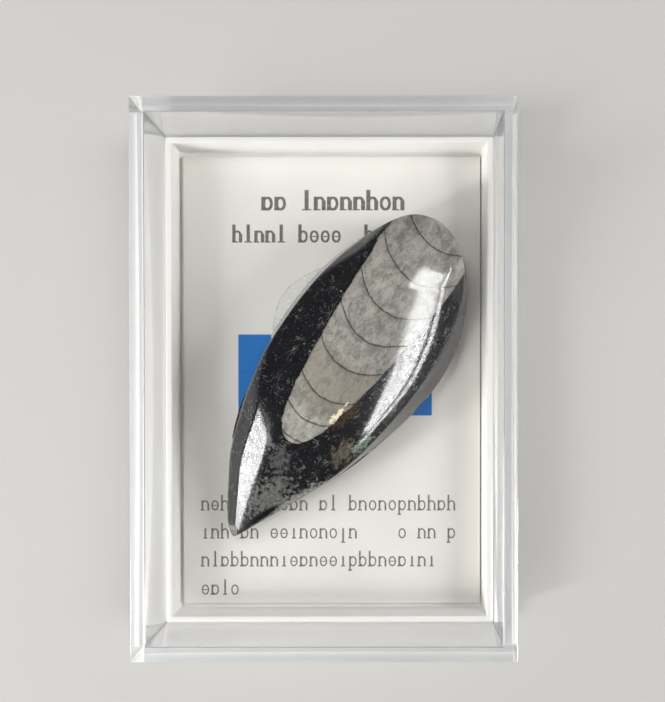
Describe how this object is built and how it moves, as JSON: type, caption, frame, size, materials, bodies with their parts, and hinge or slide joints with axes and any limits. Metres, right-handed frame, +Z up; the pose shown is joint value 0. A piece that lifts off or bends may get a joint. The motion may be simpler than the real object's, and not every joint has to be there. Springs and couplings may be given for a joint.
{
  "type": "orthoceras fossil in display box",
  "caption": "Polished orthoceras fossil glued to a label card in a small white tray under a clear lift-off lid.",
  "frame": {"origin": "centre of the box's underside", "axes": "+Z up through the lid, +Y along the box's long side towards the fossil's wide end, +X to the right seen from above"},
  "size_m": [0.055, 0.08, 0.0234],
  "materials": {
    "white_plastic": "moulded, satin gloss",
    "clear_plastic": "clear moulded polystyrene, polished",
    "label_paper": "uncoated printed card",
    "clear_glue": "soft clear adhesive",
    "polished_limestone": "polished black limestone with a pale grey calcite shell"
  },
  "bodies": {
    "root": {"base_tray": "white_plastic", "clear_lid": "clear_plastic", "label_card": "label_paper", "glue_pad": "clear_glue", "polished_fossil": "polished_limestone"}
  },
  "joints": []
}
